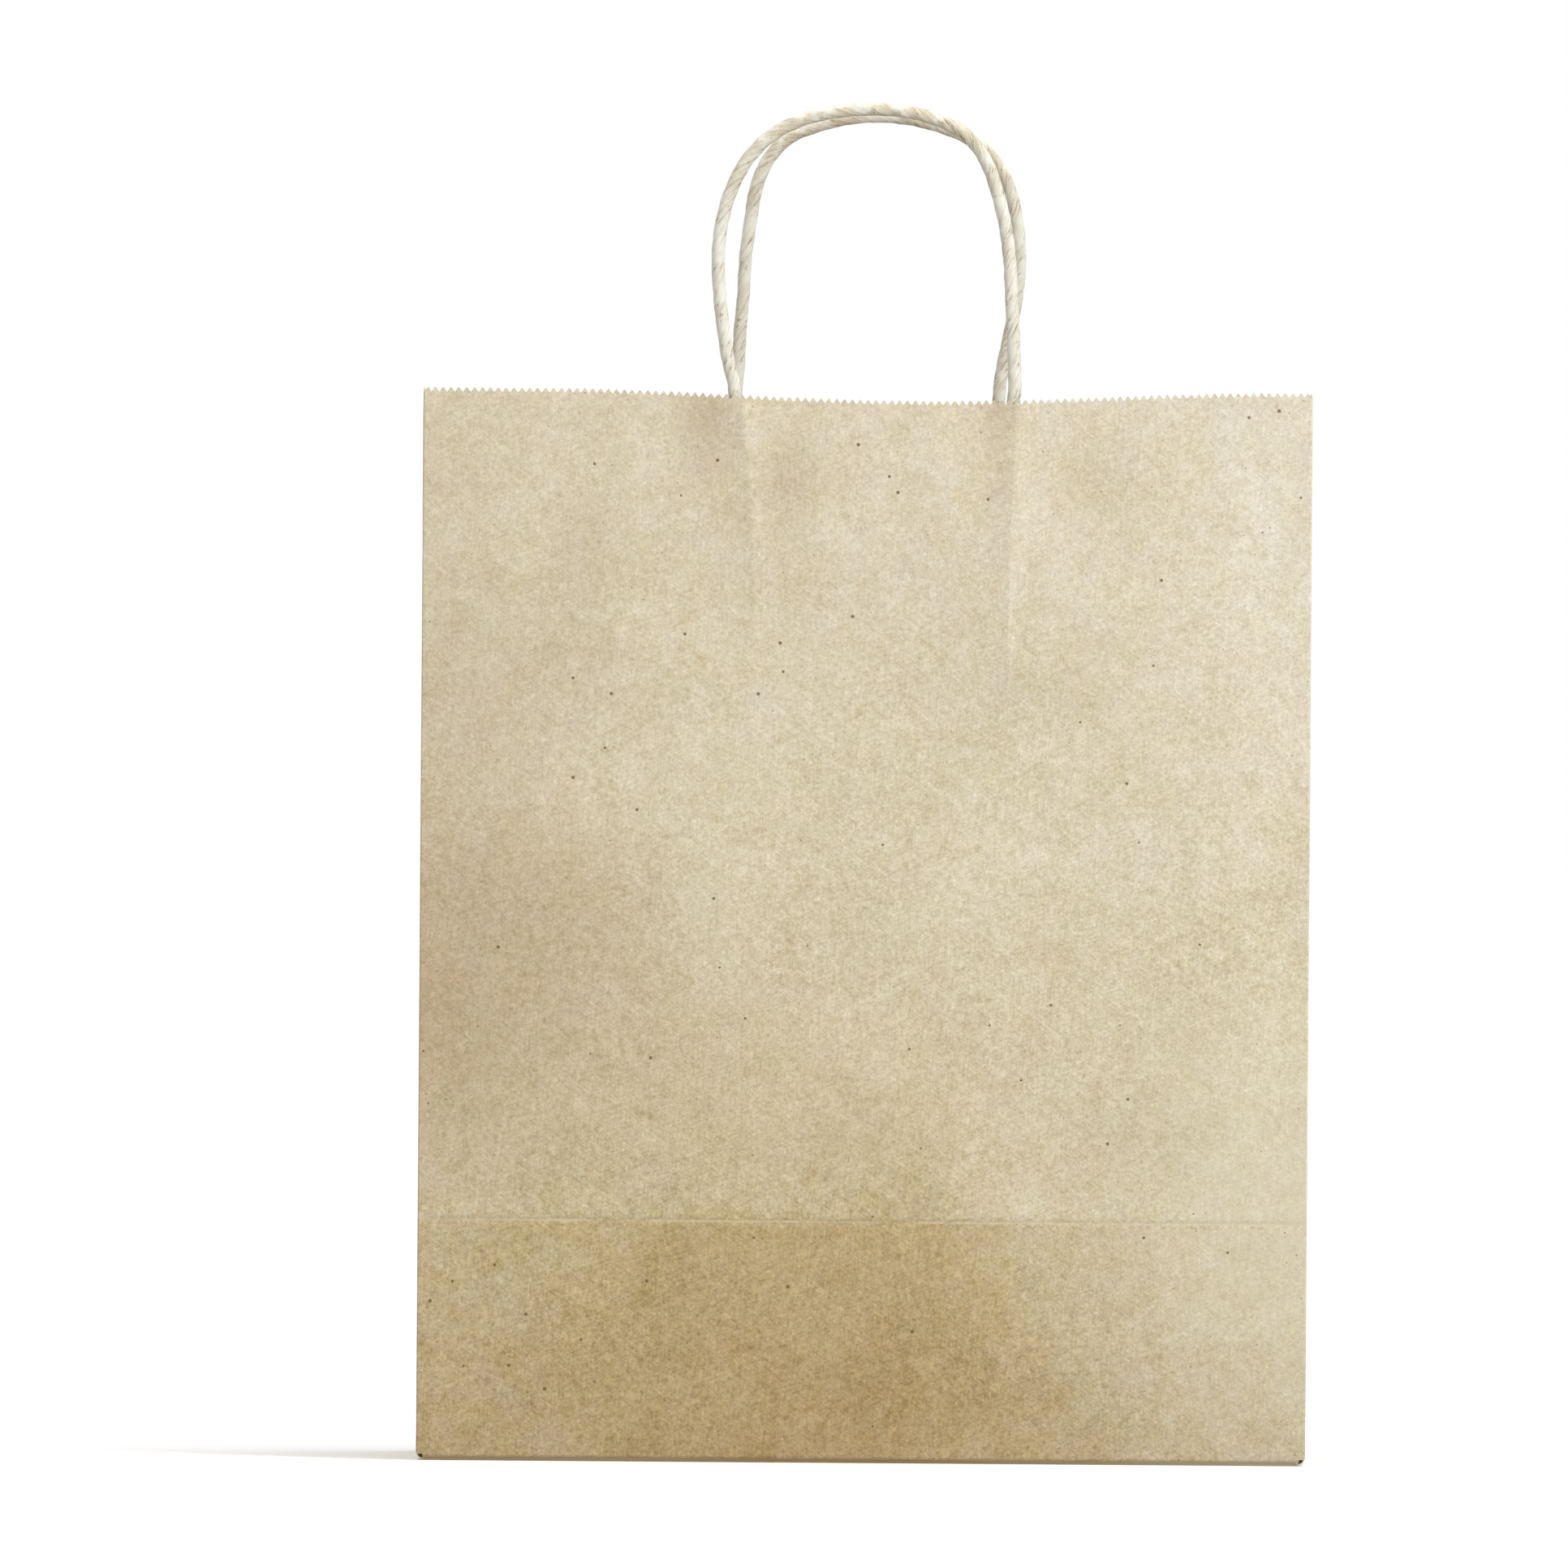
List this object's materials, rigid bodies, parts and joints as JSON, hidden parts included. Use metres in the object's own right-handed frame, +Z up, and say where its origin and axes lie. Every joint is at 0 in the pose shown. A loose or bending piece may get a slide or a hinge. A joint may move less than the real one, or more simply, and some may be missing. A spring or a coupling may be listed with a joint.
{
  "type": "gift bag",
  "caption": "Plain kraft paper gift bag with a toothed mouth, folding side gussets, a fold-up block bottom and twisted paper rope handles.",
  "frame": {"origin": "on the ground, under the middle of the open bag", "axes": "+X to the right and +Y from the front panel to the back panel, +Z up towards the mouth and the handles"},
  "size_m": [0.26, 0.14, 0.3977],
  "materials": {
    "kraft": "matte unprinted kraft",
    "kraft_base": "matte unprinted kraft, pasted",
    "kraft_patch": "matte unprinted kraft, pasted",
    "cream_rope": "matte twisted paper"
  },
  "bodies": {
    "front_panel": {"front_panel": "kraft", "front_patch_outer_ply": "kraft_patch", "front_patch_inner_ply": "kraft_patch", "front_handle_left_end": "cream_rope", "front_handle_right_end": "cream_rope"},
    "left_gusset_front": {"left_gusset_front": "kraft"},
    "left_gusset_rear": {"left_gusset_rear": "kraft"},
    "back_panel": {"back_panel": "kraft", "side_seam_lap": "kraft_patch", "back_patch_outer_ply": "kraft_patch", "back_patch_inner_ply": "kraft_patch", "back_handle_left_end": "cream_rope", "back_handle_right_end": "cream_rope"},
    "right_gusset_front": {"right_gusset_front": "kraft"},
    "right_gusset_rear": {"right_gusset_rear": "kraft"},
    "rear_bottom_strip": {"rear_bottom_strip": "kraft", "side_seam_lap_foot": "kraft_patch"},
    "left_rear_corner": {"left_rear_corner": "kraft"},
    "right_rear_corner": {"right_rear_corner": "kraft"},
    "base": {"base_outer_flap": "kraft_base", "base_inner_flap": "kraft_base", "base_left_flap": "kraft_base", "base_right_flap": "kraft_base"},
    "left_gore": {"left_gore": "kraft"},
    "right_gore": {"right_gore": "kraft"},
    "front_handle": {"front_handle_loop": "cream_rope"},
    "back_handle": {"back_handle_loop": "cream_rope"}
  },
  "joints": [
    {"name": "side_fold", "type": "hinge", "parent": "front_panel", "child": "left_gusset_front", "pos_m": [-0.12945, -0.06945, 0.15], "axis": [0, 0, -1], "range_deg": [0, 87], "deforming": ["left_gore", "right_gore"]},
    {"name": "left_gusset_crease", "type": "hinge", "parent": "left_gusset_front", "child": "left_gusset_rear", "pos_m": [-0.1303, 0, 0.15], "axis": [0, 0, 1], "range_deg": [0, 174]},
    {"name": "back_left_corner", "type": "hinge", "parent": "left_gusset_rear", "child": "back_panel", "pos_m": [-0.12945, 0.06945, 0.15], "axis": [0, 0, -1], "range_deg": [0, 87]},
    {"name": "front_right_corner", "type": "hinge", "parent": "front_panel", "child": "right_gusset_front", "pos_m": [0.12945, -0.06945, 0.15], "axis": [0, 0, 1], "range_deg": [0, 87]},
    {"name": "right_gusset_crease", "type": "hinge", "parent": "right_gusset_front", "child": "right_gusset_rear", "pos_m": [0.1303, 0, 0.15], "axis": [0, 0, -1], "range_deg": [0, 174]},
    {"name": "rear_bottom_crease", "type": "hinge", "parent": "back_panel", "child": "rear_bottom_strip", "pos_m": [0, 0.0703, 0.07], "axis": [1, 0, 0], "range_deg": [0, 168]},
    {"name": "left_rear_corner_fold", "type": "hinge", "parent": "rear_bottom_strip", "child": "left_rear_corner", "pos_m": [-0.12945, 0.06945, 0.035], "axis": [0, 0, 1], "range_deg": [0, 89]},
    {"name": "right_rear_corner_fold", "type": "hinge", "parent": "rear_bottom_strip", "child": "right_rear_corner", "pos_m": [0.12945, 0.06945, 0.035], "axis": [0, 0, -1], "range_deg": [0, 89]},
    {"name": "bottom_fold", "type": "hinge", "parent": "front_panel", "child": "base", "pos_m": [0, -0.06945, 0.00165], "axis": [1, 0, 0], "range_deg": [0, 78]},
    {"name": "left_gore_fold", "type": "hinge", "parent": "base", "child": "left_gore", "pos_m": [-0.12865, 0, 0.00165], "axis": [0, 1, 0], "range_deg": [0, 88]},
    {"name": "right_gore_fold", "type": "hinge", "parent": "base", "child": "right_gore", "pos_m": [0.12865, 0, 0.00165], "axis": [0, -1, 0], "range_deg": [0, 88]},
    {"name": "front_handle_swing", "type": "hinge", "parent": "front_panel", "child": "front_handle", "pos_m": [0, -0.06988, 0.3122], "axis": [1, 0, 0], "range_deg": [0, 165]},
    {"name": "back_handle_swing", "type": "hinge", "parent": "back_panel", "child": "back_handle", "pos_m": [0, 0.06988, 0.3122], "axis": [-1, 0, 0], "range_deg": [0, 165]}
  ],
  "couplings": [
    {"joint": "left_gusset_crease", "follows": "side_fold", "ratio": 2},
    {"joint": "back_left_corner", "follows": "side_fold", "ratio": 1},
    {"joint": "front_right_corner", "follows": "side_fold", "ratio": 1},
    {"joint": "right_gusset_crease", "follows": "side_fold", "ratio": 2},
    {"joint": "left_rear_corner_fold", "follows": "side_fold", "ratio": 1.0229},
    {"joint": "right_rear_corner_fold", "follows": "side_fold", "ratio": 1.0229},
    {"joint": "rear_bottom_crease", "follows": "bottom_fold", "ratio": 2.1537},
    {"joint": "left_gore_fold", "follows": "bottom_fold", "ratio": 1.1281},
    {"joint": "right_gore_fold", "follows": "bottom_fold", "ratio": 1.1281}
  ]
}
